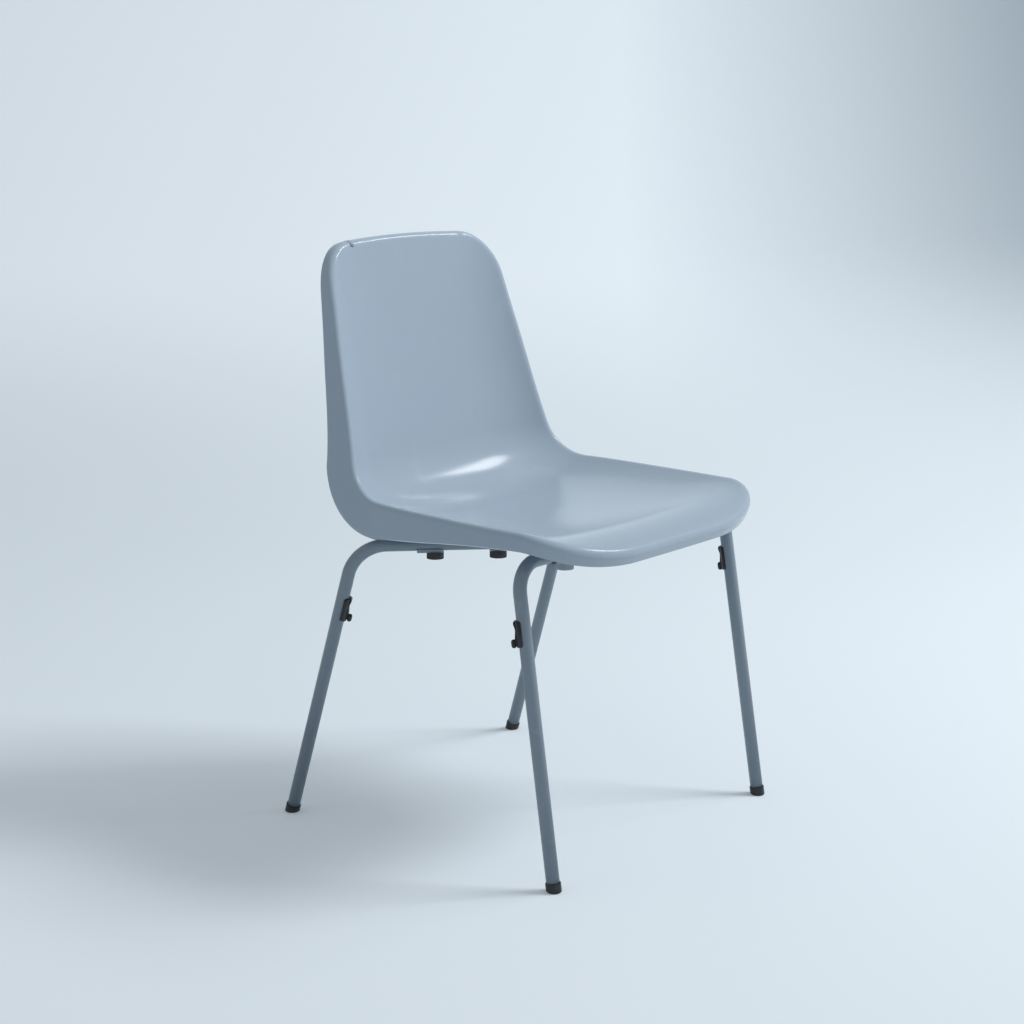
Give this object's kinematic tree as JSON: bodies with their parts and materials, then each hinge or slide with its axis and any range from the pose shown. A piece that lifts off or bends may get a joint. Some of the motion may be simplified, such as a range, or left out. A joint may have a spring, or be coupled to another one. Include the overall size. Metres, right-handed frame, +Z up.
{
  "type": "moulded plastic shell chair",
  "caption": "One-piece moulded plastic shell seat on a bent round steel tube frame, with clip-on leg buffers and foot caps",
  "frame": {"origin": "on the floor, under the middle of the chair's extent", "axes": "+Z up, the chair faces -Y, the sitter's left is +X"},
  "size_m": [0.5102, 0.51, 0.8034],
  "materials": {
    "shell": "pale blue-grey moulded polypropylene, glossy, lightly rippled",
    "painted_steel": "satin blue-grey powder coat on steel tube",
    "saddle_steel": "pressed steel, painted grey",
    "zinc_steel": "bright zinc plated steel",
    "brass": "plain brass",
    "black_plastic": "black moulded plastic, semi-gloss",
    "light_cap": "light grey moulded plastic",
    "black_rubber": "black rubber-like plastic, satin"
  },
  "bodies": {
    "root": {"seat_shell": "shell", "front_leg_tube": "painted_steel", "rear_leg_tube": "painted_steel", "insert_rear_outer_right": "brass", "saddle_rear_outer_right": "saddle_steel", "washer_rear_outer_right": "zinc_steel", "bolt_rear_outer_right": "zinc_steel", "cap_rear_outer_right": "black_plastic", "insert_rear_outer_left": "brass", "saddle_rear_outer_left": "saddle_steel", "washer_rear_outer_left": "zinc_steel", "bolt_rear_outer_left": "zinc_steel", "cap_rear_outer_left": "black_plastic", "insert_rear_inner_right": "brass", "saddle_rear_inner_right": "saddle_steel", "washer_rear_inner_right": "zinc_steel", "bolt_rear_inner_right": "zinc_steel", "cap_rear_inner_right": "black_plastic", "insert_rear_inner_left": "brass", "saddle_rear_inner_left": "saddle_steel", "washer_rear_inner_left": "zinc_steel", "bolt_rear_inner_left": "zinc_steel", "cap_rear_inner_left": "black_plastic", "insert_front_right": "brass", "saddle_front_right": "saddle_steel", "washer_front_right": "zinc_steel", "bolt_front_right": "zinc_steel", "cap_front_right": "light_cap", "insert_front_left": "brass", "saddle_front_left": "saddle_steel", "washer_front_left": "zinc_steel", "bolt_front_left": "zinc_steel", "cap_front_left": "light_cap", "clip_front_right": "black_plastic", "foot_front_right": "black_rubber", "clip_front_left": "black_plastic", "foot_front_left": "black_rubber", "clip_rear_right": "black_plastic", "foot_rear_right": "black_rubber", "clip_rear_left": "black_plastic", "foot_rear_left": "black_rubber"}
  },
  "joints": []
}
